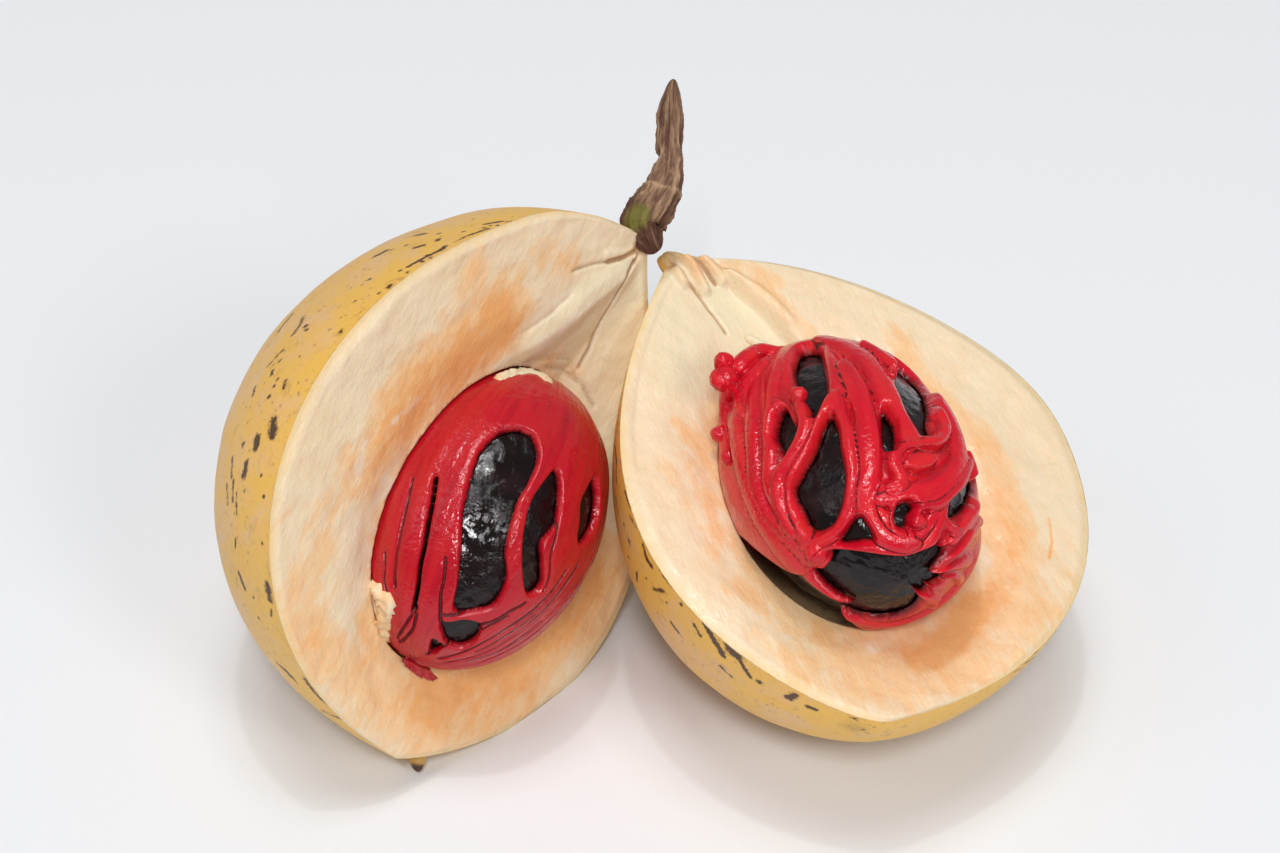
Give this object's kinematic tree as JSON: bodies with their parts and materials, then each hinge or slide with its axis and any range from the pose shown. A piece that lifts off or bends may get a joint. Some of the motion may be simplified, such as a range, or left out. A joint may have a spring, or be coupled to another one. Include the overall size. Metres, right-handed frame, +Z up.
{
  "type": "split nutmeg fruit",
  "caption": "Ripe nutmeg fruit split open: fleshy halves joined at a woody stem, each holding a glossy dark nut in a lacy red mace.",
  "frame": {"origin": "middle of the fruit's outline on the surface it lies on", "axes": "+Z up; the stem points towards +Y and up, and the cut faces look towards -Y and up; +X to the right, over the half that lies on its back"},
  "size_m": [0.0918, 0.0676, 0.0502],
  "materials": {
    "flesh": "moist cream flesh with peach blushes, inside a thin freckled yellow skin",
    "mace": "wet crimson",
    "nut": "polished near-black brown",
    "bark": "dry ridged bark"
  },
  "bodies": {
    "root": {"left_half": "flesh", "right_half": "flesh", "left_mace": "mace", "right_mace": "mace", "left_nut": "nut", "right_nut": "nut", "stem": "bark"}
  },
  "joints": []
}
